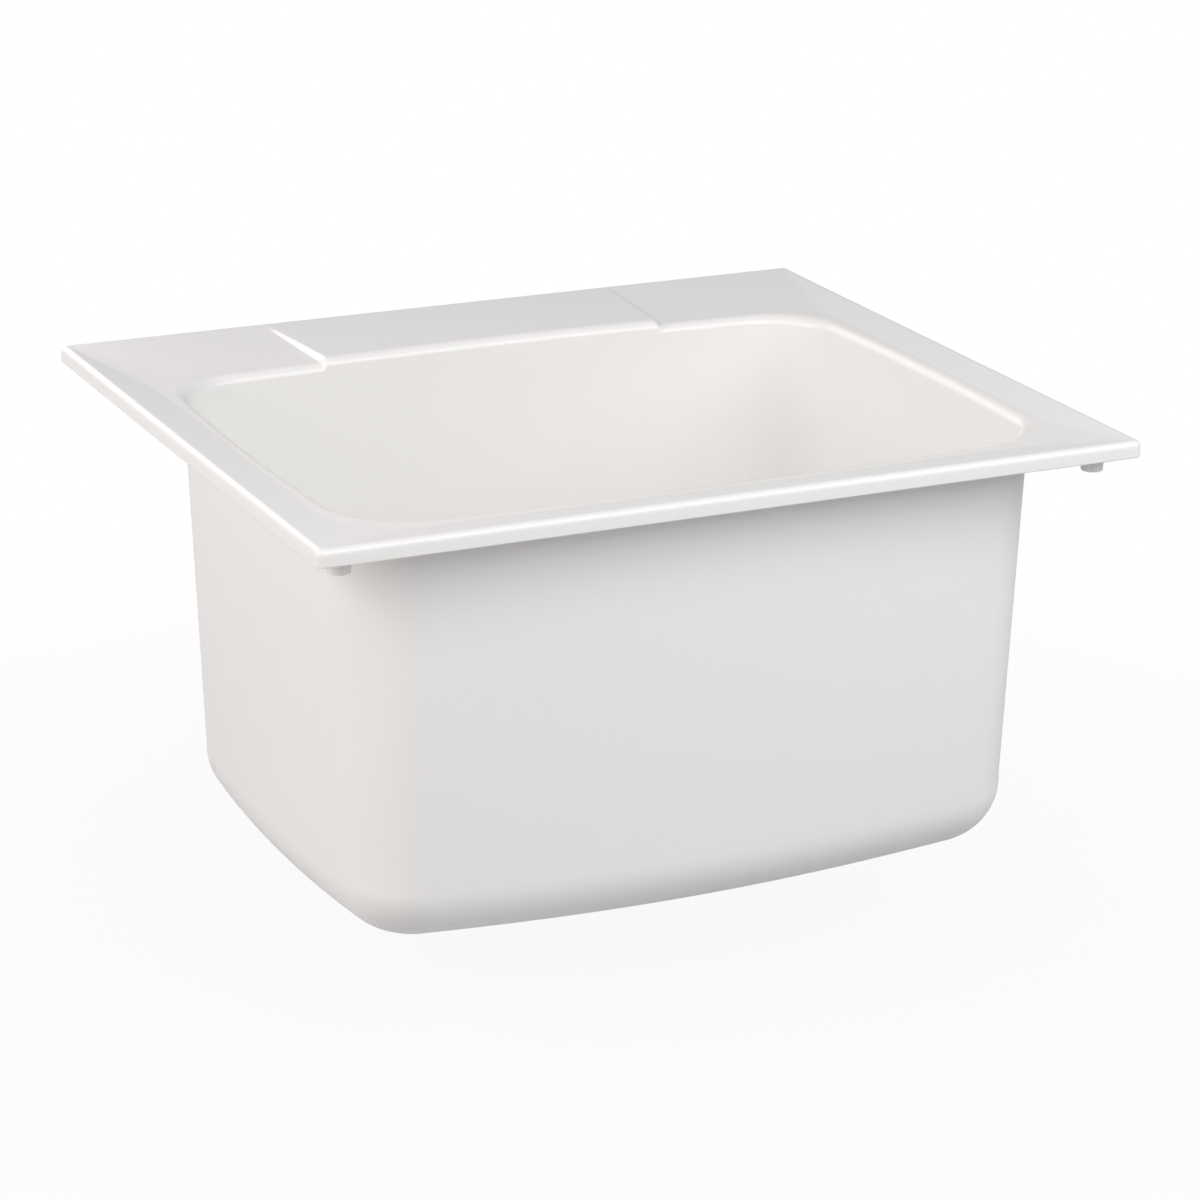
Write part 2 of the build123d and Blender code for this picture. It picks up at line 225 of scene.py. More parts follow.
class BasketSizes(bpy.types.PropertyGroup):
    """Sizes of the lift-out basket"""

    sheet: length("Sheet", "Thickness of the pressed sheet", 1 * mm)
    foot: length("Foot", "Inside radius of the wall at the floor", 26.5 * mm)
    top: length("Top", "Inside radius of the wall at the rim", 35 * mm)
    lip: length("Lip", "Depth of the turned-down rim", 2.5 * mm)
    slots: count("Slots", "Number of slots in the wall", 18)
    slot_half: length("Slot half width", "Half the width of the wall's slots", 1.2 * mm)
    slot_reach: length("Slot reach", "Half the height of the wall's slots", 7.5 * mm)
    slot_margin: length("Slot margin", "Sheet above and below the slots", 2 * mm)
    hub: length("Hub", "Radius of the floor inside its holes", 7 * mm)
    between: length("Between", "Radius between the two rings of floor holes", 16 * mm)
    floor_edge: length("Floor edge", "Radius of the floor outside its holes", 24 * mm)
    inner_ring: length("Inner ring", "Radius of the inner ring of floor holes", 12 * mm)
    inner_holes: count("Inner holes", "Number of holes in the inner ring", 6)
    outer_ring: length("Outer ring", "Radius of the outer ring of floor holes", 20 * mm)
    outer_holes: count("Outer holes", "Number of holes in the outer ring", 12)
    floor_hole: length("Floor hole", "Radius of the floor's holes", 2 * mm)
    heel: length("Heel", "Radius outside, between the wall and the floor", 3 * mm)
    stem: length("Stem", "Radius of the stem", 2.4 * mm)
    collar: length("Collar", "Radius of the stem's collar", 4 * mm)
    bulb: length("Bulb", "Radius of the bulb that snaps through the plate", 3.1 * mm)
    bulb_length: length("Bulb length", "From the stem's tip to the bulb's shoulder", 4 * mm)
    bulb_taper: length("Bulb taper", "Length of the bulb's sloped ends", 1.2 * mm)
    knob_foot: length("Knob foot", "Radius of the knob's foot", 6 * mm)
    knob_edge: length("Knob edge", "Width of the knob's bevelled top edge", 4 * mm)
    knob_ring: number("Knob ring", "Where its hollow starts, in widths of that edge", 1.6)
    knob_slope: number("Knob slope", "Share of the hollow's depth that is reached there", 0.8)
    knob_round: length("Knob round", "Radius round the knob's widest part", 1.6 * mm)
    knob_brow: length("Knob brow", "Height of the knob's widest part", 2 * mm)
    knob_flare: length("Knob flare", "Height in which the knob widens", 3.5 * mm)
    knob_dish: length("Knob dish", "Depth of the hollow in the knob's top", 0.6 * mm)


class Colours(bpy.types.PropertyGroup):
    """Colour of each finish"""

    tub_plastic: colour("Tub", "Moulded white plastic", (0.88, 0.875, 0.887))
    insert_brass: colour("Inserts", "Turned brass", (0.78, 0.57, 0.27))
    gasket_rubber: colour("Gaskets", "Black rubber", (0.024, 0.024, 0.025))
    seal_rubber: colour("Stopper", "Black rubber", (0.020, 0.020, 0.022))
    strainer_steel: colour("Strainer", "Spun stainless steel", (0.66, 0.66, 0.65))
    ring_fibre: colour("Friction ring", "Brown pressed fibre", (0.30, 0.19, 0.11))
    locknut_zinc: colour("Locknut", "Cast zinc", (0.42, 0.42, 0.41))
    washer_plastic: colour("Tailpiece washer", "Natural plastic", (0.78, 0.78, 0.73))
    tailpiece_chrome: colour("Tailpiece", "Bright plating", (0.82, 0.83, 0.84))
    slip_nut_chrome: colour("Slip nut", "Bright plating over a casting", (0.78, 0.79, 0.80))
    basket_steel: colour("Basket", "Pressed stainless steel", (0.68, 0.68, 0.67))
    stem_steel: colour("Stem", "Turned stainless steel", (0.62, 0.62, 0.61))
    knob_plastic: colour("Knob", "Satin black plastic", (0.022, 0.022, 0.024))


class StageSizes(bpy.types.PropertyGroup):
    """Camera, lamps and floor"""

    turn: angle("Camera turn", "Camera's angle round the sink; 0 looks along +Y", -25.02)
    rise: angle("Camera rise", "Camera's angle above the horizon", 18.97)
    roll: angle("Camera roll", "Camera's small tilt", 0.43)
    distance: length("Camera distance", "From the camera to the middle of the rim", 2919.3 * mm)
    aim_right: length("Aim right", "How far right of the rim's middle it aims", 14.5 * mm)
    aim_down: length("Aim down", "How far below the rim's middle it aims", 156.1 * mm)
    field: angle("Field of view", "Width of the camera's view", 17.474)
    sky: number("Sky", "Strength of the plain light from all round", 0.15)
    reflected: number("Reflected", "Share of the white background that reflections show", 0.45)
    lamp_size: length("Lamp size", "Width of each square lamp", 1.7)
    lamp_distance: length("Lamp distance", "From each lamp to the sink", 2.6)
    front_power: number("Front lamp", "Watts of the lamp high in front", 27)
    front_turn: angle("Front lamp turn", "That lamp's angle round the sink; 0 is in front", 0)
    front_rise: angle("Front lamp rise", "That lamp's angle above the horizon", 42)
    right_power: number("Right lamp", "Watts of the lamp in front and to the right", 22)
    right_turn: angle("Right lamp turn", "That lamp's angle round the sink", 40)
    right_rise: angle("Right lamp rise", "That lamp's angle above the horizon", 34)
    left_power: number("Left lamp", "Watts of the lamp on the left", 39)
    left_turn: angle("Left lamp turn", "That lamp's angle round the sink", -90)
    left_rise: angle("Left lamp rise", "That lamp's angle above the horizon", 27)
    back_power: number("Back lamp", "Watts of the weak lamp behind", 14)
    back_turn: angle("Back lamp turn", "That lamp's angle round the sink", 192)
    back_rise: angle("Back lamp rise", "That lamp's angle above the horizon", 25)
    left_tint: colour("Left tint", "Colour of the lamp on the left", (1.0, 0.94, 0.93))
    floor_tone: number("Floor tone", "Brightness of the floor's own surface", 0.5)
    floor_rough: number("Floor roughness", "Roughness of that surface", 0.9)
    floor_reach: length("Floor reach", "Half width of the floor", 9.0)
    shade_near: length("Shade near", "Distance within which the floor shows shade", 0.45)
    shade_far: length("Shade far", "Distance past which the floor is plain white", 1.1)
    floor_glow: number("Floor glow", "Share of plain white in the floor near the sink", 0.93)


def rounded(points, radii, steps=6, closed=False):
    """Section of (radius, height) points whose corners are rounded.

    Each corner P gives way to the curve (1-s)^2 A + 2s(1-s) P + s^2 B, where A and B lie on its two
    runs, a radius away, or at most 0.45 of the run. An open section keeps its two end points sharp.
    """
    most = 0.45
    points = np.asarray(points, float)
    if closed:
        before, corner, after = np.roll(points, 1, axis=0), points, np.roll(points, -1, axis=0)
    else:
        before, corner, after = points[:-2], points[1:-1], points[2:]
    back, ahead = before - corner, after - corner
    run_back = np.linalg.norm(back, axis=1)
    run_ahead = np.linalg.norm(ahead, axis=1)
    radii = np.broadcast_to(radii, len(corner))
    start = corner + back * np.minimum(radii / run_back, most)[:, None]
    end = corner + ahead * np.minimum(radii / run_ahead, most)[:, None]
    s = np.linspace(0, 1, steps + 1)[None, :, None]
    curves = (1 - s) ** 2 * start[:, None] + 2 * s * (1 - s) * corner[:, None] + s ** 2 * end[:, None]
    curves = curves.reshape(-1, 2)
    return curves if closed else np.concatenate([points[:1], curves, points[-1:]])


def filled(section, gap):
    """Section with points added along its runs, so that none is longer than the gap."""
    parts = []
    for start, end in zip(section[:-1], section[1:]):
        pieces = max(1, int(np.ceil(np.linalg.norm(end - start) / gap)))
        parts.append(np.linspace(start, end, pieces, endpoint=False))
    return np.concatenate([*parts, section[-1:]])


def even(columns):
    """Evenly spaced angles of a turn."""
    return np.linspace(0, full_turn, columns, endpoint=False)


def turned(section, turn=even(drain_columns), stretch=0.0):
    """Grid of a section turned about the drain's axis, each point pushed out by its stretch."""
    radius = section[:, :1] + stretch
    points = radius * np.cos(turn), radius * np.sin(turn), section[:, 1:]
    return np.stack(np.broadcast_arrays(*points), axis=-1)


def screw(radius, start, end, pitch, depth, turn=even(drain_columns)):
    """Rows of a screw thread between two heights.

    The radius grows by depth times w^2 (3 - 2w), where w is a triangle wave of height over pitch less
    the share of a turn, so that the crest climbs one pitch a turn. It fades in and out at the ends.
    """
    rows_per_pitch = 10
    rows = int((end - start) / pitch * rows_per_pitch) + 2
    height = np.linspace(start, end, rows)[:, None]
    wave = np.abs(2 * ((height / pitch - turn / full_turn) % 1) - 1)
    fade = np.clip(np.minimum(height - start, end - height) / pitch, 0, 1)
    reach = radius + depth * fade * wave ** 2 * (3 - 2 * wave)
    points = reach * np.cos(turn), reach * np.sin(turn), height
    return np.stack(np.broadcast_arrays(*points), axis=-1)


def ruled(start, end, steps):
    """Rows between two rows of points, without those two: (1-f) start + f end."""
    f = np.linspace(0, 1, steps + 2)[1:-1, None, None]
    return (1 - f) * start + f * end


def ring(inner, low, high, edge):
    """Closed section of a flat ring with rounded edges, out to its box."""
    corners = [(inner, low.z), (high.x, low.z), (high.x, high.z), (inner, high.z)]
    return rounded(corners, edge, closed=True)


def grid_faces(rows, columns, wrap_rows):
    """Corner numbers of a grid's four-sided faces. The columns close on themselves."""
    row = np.arange(rows if wrap_rows else rows - 1)[:, None]
    column = np.arange(columns)[None, :]
    next_row = (row + 1) % rows
    next_column = (column + 1) % columns
    corners = [row * columns + column, row * columns + next_column,
               next_row * columns + next_column, next_row * columns + column]
    return np.stack(np.broadcast_arrays(*corners), axis=-1).reshape(-1, 4)


def skin(name, *grids, body, slot, replaced=(), wrap_rows=False):
    """One closed piece from grids of points, merged where they meet, facing outwards and finished."""
    merge_gap = 0.005 * mm
    least_edge = 0.001 * mm
    vertices = []
    faces = []
    total = 0
    for grid in grids:
        rows, columns = grid.shape[:2]
        vertices.append(grid.reshape(-1, 3))
        faces.append(grid_faces(rows, columns, wrap_rows) + total)
        total += rows * columns
    mesh = bpy.data.meshes.new(name)
    mesh.from_pydata(np.concatenate(vertices).tolist(), [], np.concatenate(faces).tolist())
    work = bmesh.new()
    work.from_mesh(mesh)
    bmesh.ops.remove_doubles(work, verts=work.verts, dist=merge_gap)
    bmesh.ops.dissolve_degenerate(work, edges=work.edges, dist=least_edge)
    bmesh.ops.recalc_face_normals(work, faces=work.faces)
    work.to_mesh(mesh)
    work.free()
    mesh.shade_smooth()
    mesh.materials.append(finish(slot))
    piece = bpy.data.objects.new(name, mesh)
    bpy.context.scene.collection.objects.link(piece)
    piece.modifiers.new("even_shading", "WEIGHTED_NORMAL")
    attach(piece, body)
    if replaced:
        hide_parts(*replaced)
    return piece


class RimLoop:
    """Columns of the tub's grid: a closed run round a rounded rectangle, from the front left corner.

    A column has its share of the rectangle's core, its angle on the corner radius, and on the back side
    its share of the tap panel's foot and top, so that a grid line follows each edge of the panel. Lift is
    0 on the ledge, 1 on the panel, and a smooth step between. Rear is 0 in front and 1 at the back.
    """

    corner_columns = 22
    front_columns = 36
    side_columns = 28
    back_columns = (14, 12, 28, 12, 14)

    def __init__(self):
        along_front = np.linspace(-1, 1, self.front_columns, endpoint=False)
        along_side = np.linspace(-1, 1, self.side_columns, endpoint=False)
        arc = np.linspace(0, np.pi / 2, self.corner_columns, endpoint=False)
        along_back = np.concatenate([np.linspace(i, i + 1, n, endpoint=False)
                                     for i, n in enumerate(self.back_columns)])
        corner, side, back = np.ones_like(arc), np.ones_like(along_side), np.ones_like(along_back)
        marks = np.arange(6)
        core = np.interp(along_back, marks, [1, 0, 0, 0, 0, -1])
        foot = np.interp(along_back, marks, [0, 1, 0, 0, -1, 0])
        top = np.interp(along_back, marks, [0, 0, 1, -1, 0, 0])
        rise = np.interp(along_back, marks, [0, 0, 1, 1, 0, 0])

        self.core_x = np.concatenate([along_front, corner, side, corner, core, -corner, -side, -corner])
        self.core_y = np.concatenate([-np.ones_like(along_front), -corner, along_side, corner, back,
                                      corner, -along_side, -corner])
        quarter = np.pi / 2
        self.turn = np.concatenate([np.full_like(along_front, -quarter), arc - quarter, 0 * side, arc,
                                    quarter * back, arc + quarter, 2 * quarter * side,
                                    arc + 2 * quarter])
        before = np.zeros(len(along_front) + 2 * len(arc) + len(side))
        after = np.zeros(2 * len(arc) + len(side))
        rear = (along_side + 1) / 2
        self.rear = np.concatenate([0 * along_front, 0 * arc, rear, corner, back, corner, 1 - rear,
                                    0 * arc])
        self.foot = np.concatenate([before, foot, after])
        self.top = np.concatenate([before, top, after])
        self.lift = np.concatenate([before, rise ** 2 * (3 - 2 * rise), after])

    def rows(self, half_width, front, back, radius, z, panel, slope, bow_side=0.0, bow_end=0.0):
        """Points (rows, columns, 3) of the outlines at these sizes and heights.

        Each side stands out by its bow times one less the square of the place along it.
        """
        core_x = half_width - bow_side - radius
        core_y = (back - front) / 2 - bow_end - radius
        x = core_x * self.core_x + (panel + slope) * self.foot + panel * self.top
        x = x + radius * np.cos(self.turn)
        y = core_y * self.core_y + radius * np.sin(self.turn)
        along_x = x / (core_x + radius)
        along_y = y / (core_y + radius)
        bowed_x = x + bow_side * along_x * (1 - along_y ** 2)
        bowed_y = y + bow_end * along_y * (1 - along_x ** 2) + (front + back) / 2
        return np.stack(np.broadcast_arrays(bowed_x, bowed_y, z), axis=-1)


class TubShape:
    """Outlines of the tub at each height, from its sizes."""

    ledge_steps = 12
    roll_steps = 14
    wall_steps = 32
    bottom_steps = 18
    inner_floor_steps = 16
    outer_floor_steps = 14
    root_steps = 8
    roof_steps = 10

    def __init__(self, sizes, drain):
        self.sizes = sizes
        self.drain = drain
        self.loop = RimLoop()
        rear, lift = self.loop.rear[None, :], self.loop.lift[None, :]
        fall = sizes.ledge_fall + (sizes.deck_fall - sizes.ledge_fall) * rear
        self.mouth_height = tub_high.z - fall * (1 - lift)
        self.corner = sizes.corner + (sizes.corner_rear - sizes.corner) * rear
        self.draft = np.tan(sizes.wall_draft)
        self.recess_height = tub_low.z + drain.pad_wall
        self.floor_inside = self.recess_height + drain.recess_depth
        self.floor_outside = self.floor_inside - sizes.bowl_wall

    def rim(self, inset, z):
        """Outline of the rim, drawn in by an inset. Its corners keep a small part of their radius."""
        sizes = self.sizes
        least_share = 0.05
        radius = np.maximum(sizes.rim_corner - inset, sizes.rim_corner * least_share)
        return self.loop.rows(tub_high.x - inset, tub_low.y + inset, tub_high.y - inset, radius, z,
                              sizes.panel_back, sizes.panel_slope)

    def mouth(self, z, outset, bow_side=0.0, bow_end=0.0):
        """Outline round the mouth, an outset from the edge of its roll."""
        sizes = self.sizes
        outset = outset + sizes.mouth_reach - sizes.bowl_wall
        radius = sizes.mouth_front + (sizes.mouth_rear - sizes.mouth_front) * self.loop.rear
        return self.loop.rows(sizes.bowl_half + outset, sizes.bowl_front - outset,
                              sizes.bowl_back + outset, radius, z, sizes.panel_front,
                              sizes.panel_slope, bow_side, bow_end)

    def wall(self, inset, z, draw_in=0.0, radius=None):
        """Outline of the bowed wall at a height. The draft and an inset draw it in."""
        sizes = self.sizes
        depth = np.clip(z / self.floor_outside, 0, 1)
        total = inset + draw_in - self.draft * z
        if radius is None:
            radius = self.corner - sizes.corner_gain * depth - inset
        return self.loop.rows(sizes.bowl_half - total, sizes.bowl_front + total,
                              sizes.bowl_back - total, radius, z, sizes.panel_front,
                              sizes.panel_slope, sizes.side_bow + sizes.bow_gain * depth,
                              sizes.end_bow + sizes.bow_gain * depth)

    def floor_edge(self, inset):
        """Height of the floor along its edge: it rises with the distance from its lowest place."""
        sizes = self.sizes
        edge = self.wall(inset, np.full((1, 1), self.floor_outside), sizes.bottom - inset,
                         sizes.bottom_corner)
        reach = np.hypot(edge[..., 0], edge[..., 1] - sizes.floor_middle)
        return self.floor_outside + inset - sizes.floor_drop + sizes.floor_rise * reach

    def wall_foot(self, inset):
        """Height where the wall turns into the bottom radius."""
        radius = self.sizes.bottom - inset
        return self.floor_edge(inset) + radius * (1 - np.sin(self.sizes.wall_draft))

    def wall_rows(self, inset, top):
        """Rows down the wall from a height to its foot, without those two."""
        f = np.linspace(0, 1, self.wall_steps + 2)[1:-1, None]
        return self.wall(inset, top + (self.wall_foot(inset) - top) * f)

    def bottom_rows(self, inset):
        """Rows round the quarter turn between the wall and the floor."""
        sizes = self.sizes
        radius = sizes.bottom - inset
        turn = np.linspace(sizes.wall_draft, np.pi / 2, self.bottom_steps)[:, None]
        height = self.floor_edge(inset) + radius * (1 - np.sin(turn))
        draw_in = radius * (np.cos(sizes.wall_draft) - np.cos(turn))
        upright = self.draft * (height - self.wall_foot(inset))
        foot_corner = self.corner - sizes.corner_gain - inset
        corner = foot_corner - (foot_corner - sizes.bottom_corner) * (1 - np.cos(turn))
        return self.wall(inset, height, draw_in + upright, corner)

    def drain_rows(self, turn):
        """Rows of circles through the drain hole, at the angles of the floor's columns."""
        drain = self.drain
        section = rounded([(drain.recess + drain.recess_ring, self.floor_inside),
                           (drain.recess, self.floor_inside), (drain.recess, self.recess_height),
                           (drain.hole, self.recess_height), (drain.hole, tub_low.z),
                           (drain.pad, tub_low.z), (drain.pad, self.floor_outside),
                           (drain.pad + drain.pad_ring, self.floor_outside)],
                          [blunt, mild, eased, eased, smooth, drain.pad_root])
        return turned(section, turn)

    def grid(self):
        """The whole tub as one closed grid, whose rows follow the wall's section.

        They go up the skirt, over the rolled rim, down the ledge to the mouth, round and down the inside,
        across the floor, through the drain hole, and back outside to the skirt.
        """
        sizes = self.sizes
        roof_rim = tub_high.z - sizes.ledge_wall
        roof_mouth = self.mouth_height - sizes.ledge_wall
        section = rounded([(sizes.skirt_wall + sizes.root, roof_rim), (sizes.skirt_wall, roof_rim),
                           (sizes.skirt_wall, 0), (0, 0), (0, tub_high.z),
                           (2 * sizes.rim_edge, tub_high.z)],
                          [broad, sizes.skirt_lip, sizes.skirt_lip, sizes.rim_edge], steps=8)[1:-1]
        skirt = self.rim(section[:, :1], section[:, 1:])
        lip = self.mouth(self.mouth_height, sizes.ledge_flat)
        ledge = ruled(skirt[-1:], lip, self.ledge_steps)

        turn = np.linspace(0, np.pi / 2, self.roll_steps)[:, None]
        roll_height = self.mouth_height - sizes.mouth_depth * (1 - np.cos(turn))
        share = 1 - np.sin(turn)[..., None]
        roll = (1 - share) * self.wall(sizes.bowl_wall, roll_height) + share * self.mouth(
            roll_height, 0.0, sizes.side_bow, sizes.end_bow)
        inner_wall = self.wall_rows(sizes.bowl_wall, roll_height[-1:])
        inner_bottom = self.bottom_rows(sizes.bowl_wall)

        drain_rows = self.drain_rows(np.arctan2(inner_bottom[-1, :, 1], inner_bottom[-1, :, 0]))
        outer_bottom = self.bottom_rows(0.0)[::-1]
        inner_floor = ruled(inner_bottom[-1:], drain_rows[:1], self.inner_floor_steps)
        outer_floor = ruled(drain_rows[-1:], outer_bottom[:1], self.outer_floor_steps)

        bend = np.linspace(0, np.pi / 2, self.root_steps)[:, None]
        root_height = roof_mouth - sizes.root * (1 - np.sin(bend))
        root = self.wall(-sizes.root * (1 - np.cos(bend)), root_height)
        outer_wall = self.wall_rows(0.0, root_height[:1])[::-1]
        roof_lip = self.mouth(roof_mouth, sizes.ledge_flat)
        roof = ruled(roof_lip, skirt[:1], self.roof_steps)
        return np.concatenate([skirt, ledge, lip, roll, inner_wall, inner_bottom, inner_floor,
                               drain_rows, outer_floor, outer_bottom, outer_wall, root, roof_lip, roof])


def hole_outline(half_width, half_height, steps):
    """Points round a hole with round ends, from its low middle, with a number of steps on each side."""
    end_steps = 4
    straight = half_height - half_width
    arc = end_steps if straight > 0.01 * mm else steps / 2
    f = np.arange(steps + 1)
    marks = [0, arc, steps - arc, steps]
    turn = np.interp(f, marks, [-np.pi / 2, 0, 0, np.pi / 2])
    middle = np.interp(f, marks, [-straight, -straight, straight, straight])
    across = half_width * np.cos(turn)
    along = middle + half_width * np.sin(turn)
    right = np.stack([along, across], axis=-1)[:-1]
    left = np.stack([along, -across], axis=-1)[:0:-1]
    return np.concatenate([right, left])


def share_outline(low, high, half_turn, across, along):
    """Points (radius, turn) round one hole's share of a ring, from its low middle."""
    first = np.linspace(0, half_turn, across // 2, endpoint=False)
    up = np.linspace(low, high, along, endpoint=False)
    radius = np.concatenate([0 * first + low, up, 0 * first + high, [high]])
    turn = np.concatenate([first, 0 * up + half_turn, half_turn - first, [0]])
    right = np.stack([radius, turn], axis=-1)
    return np.concatenate([right, right[-2:0:-1] * (1, -1)])


def pierced(number, start, run, low, high, middle, half_width, half_height, columns, along, sheet):
    """Grids of a ring of sheet, flat or coned, with a hole in each of its equal shares.

    The sheet leaves a start (radius, height) along a run (lean, climb) of length one. Unrolled, a point
    at radius r and angle a lies r / lean from the cone's tip, turned by a lean. There each share goes
    from its own outline to its hole's, (1-f) outline + f hole, and back on the sheet's far face.
    """
    lean, climb = run
    outline = share_outline(low, high, np.pi / number, columns // number, along)
    reach, bearing = outline[:, 0] / lean, outline[:, 1] * lean
    flat = np.stack([reach * np.cos(bearing), reach * np.sin(bearing)], axis=-1)
    hole = hole_outline(half_width, half_height, len(flat) // 2) + (middle / lean, 0)
    # How near each row of a face comes to the hole, and how deep the row lies, in sheet thicknesses
    near = np.array([0, 0.35, 0.7, 0.94, 0.985, 1])
    edge = np.array([0, 0, 0, 0, 0.04, 0.15])
    f = np.concatenate([near, near[::-1]])[:, None, None]
    depth = sheet * np.concatenate([edge, 1 - edge[::-1]])[:, None]
    x, y = np.moveaxis(flat + f * (hole - flat), -1, 0)
    radius = np.hypot(x, y) * lean
    bearing = np.arctan2(y, x) / lean
    height = start[1] + (radius - start[0]) * climb / lean - depth * lean
    radius = radius + depth * climb
    grids = []
    for i in range(number):
        turn = bearing + full_turn * i / number
        grids.append(np.stack([radius * np.cos(turn), radius * np.sin(turn), height], axis=-1))
    return grids


def feed(tree, socket, value):
    """Gives a shader socket its value, or links it to another node's output."""
    if isinstance(value, bpy.types.NodeSocket):
        tree.links.new(value, socket)
    else:
        socket.default_value = value


def add(tree, kind, *values, **named):
    """New shader node. Its sockets take the values in order, or by names that start with a capital.

    The other names are its settings.
    """
    node = tree.nodes.new("ShaderNode" + kind)
    for socket, value in zip(node.inputs, values):
        feed(tree, socket, value)
    for key, value in named.items():
        if key[0].isupper():
            feed(tree, node.inputs[key.replace("_", " ")], value)
        else:
            setattr(node, key, value)
    return node


# For each finish: how dark its clouds get, the range of its roughness, the scales of its clouds and of
# its grain per metre, and the strength of the grain's relief. Turned finishes have rings for a grain.
FINISHES = {
    "tub_plastic": dict(dark=0.985, rough=(0.15, 0.21), cloud=7, grain=150, relief=0.03),
    "insert_brass": dict(dark=0.80, rough=(0.22, 0.42), cloud=300, grain=2500, relief=0.15, metal=1),
    "gasket_rubber": dict(dark=0.65, rough=(0.55, 0.75), cloud=90, grain=2600, relief=0.25),
    "seal_rubber": dict(dark=0.65, rough=(0.40, 0.58), cloud=120, grain=2200, relief=0.15),
    "strainer_steel": dict(dark=0.90, rough=(0.18, 0.34), cloud=40, grain=2200, relief=0.12, metal=1,
                           rings=True),
    "ring_fibre": dict(dark=0.55, rough=(0.70, 0.90), cloud=900, grain=3000, relief=0.40),
    "locknut_zinc": dict(dark=0.80, rough=(0.42, 0.60), cloud=120, grain=1400, relief=0.35, metal=1),
    "washer_plastic": dict(dark=0.95, rough=(0.35, 0.50), cloud=80, grain=900, relief=0.05),
    "tailpiece_chrome": dict(dark=0.95, rough=(0.05, 0.11), cloud=30, grain=600, relief=0.01, metal=1),
    "slip_nut_chrome": dict(dark=0.92, rough=(0.07, 0.16), cloud=60, grain=500, relief=0.05, metal=1),
    "basket_steel": dict(dark=0.93, rough=(0.15, 0.28), cloud=60, grain=1500, relief=0.05, metal=1),
    "stem_steel": dict(dark=0.90, rough=(0.16, 0.30), cloud=90, grain=3000, relief=0.10, metal=1,
                       rings=True),
    "knob_plastic": dict(dark=0.70, rough=(0.28, 0.42), cloud=120, grain=2400, relief=0.08),
}


def ring_place(tree, place):
    """Distance from the drain's axis and height of a place, so that noise there forms turned rings."""
    parts = add(tree, "SeparateXYZ", place).outputs
    level = add(tree, "CombineXYZ", parts["X"], parts["Y"]).outputs["Vector"]
    reach = add(tree, "VectorMath", level, operation="LENGTH").outputs["Value"]
    return add(tree, "CombineXYZ", reach, parts["Z"]).outputs["Vector"]


def finish(slot):
    """The slot's finish: its colour drifts in clouds, and a fine grain varies its gloss and surface."""
    if slot in bpy.data.materials:
        return bpy.data.materials[slot]
    cloud_detail, grain_detail = 3.0, 4.0
    cloud_low, cloud_high = 0.35, 0.65
    grain_low, grain_high = 0.3, 0.7
    look = FINISHES[slot]
    light = np.array(getattr(bpy.context.scene.sink_colours, slot))
    made = bpy.data.materials.new(slot)
    made.use_nodes = True
    tree = made.node_tree
    place = add(tree, "TexCoord").outputs["Object"]

    cloud = add(tree, "TexNoise", Vector=place, Scale=look["cloud"], Detail=cloud_detail)
    tone = add(tree, "ValToRGB", Fac=cloud.outputs["Fac"])
    dark_end, light_end = tone.color_ramp.elements
    dark_end.position, light_end.position = cloud_low, cloud_high
    dark_end.color = (*(light * look["dark"]), 1)
    light_end.color = (*light, 1)

    smoothest, roughest = look["rough"]
    marks = ring_place(tree, place) if look.get("rings") else place
    noise = add(tree, "TexNoise", Vector=marks, Scale=look["grain"], Detail=grain_detail)
    grain = noise.outputs["Fac"]
    gloss = add(tree, "MapRange", Value=grain, From_Min=grain_low, From_Max=grain_high,
                To_Min=smoothest, To_Max=roughest)
    relief = add(tree, "Bump", Height=grain, Strength=look["relief"], Distance=1 * mm)

    surface = tree.nodes["Principled BSDF"].inputs
    feed(tree, surface["Metallic"], look.get("metal", 0))
    feed(tree, surface["Base Color"], tone.outputs["Color"])
    feed(tree, surface["Roughness"], gloss.outputs["Result"])
    feed(tree, surface["Normal"], relief.outputs["Normal"])
    return made


class SINK_OT_tub(bpy.types.Operator):
    """Model the moulded tub as one closed skin"""

    bl_idname = "sink.tub"
    bl_label = "Moulded tub"

    def execute(self, context):
        scene = context.scene
        grid = TubShape(scene.sink_tub, scene.sink_drain).grid()
        skin("moulded_tub", grid, body="sink", slot="tub_plastic", replaced=["tub"], wrap_rows=True)
        return {"FINISHED"}


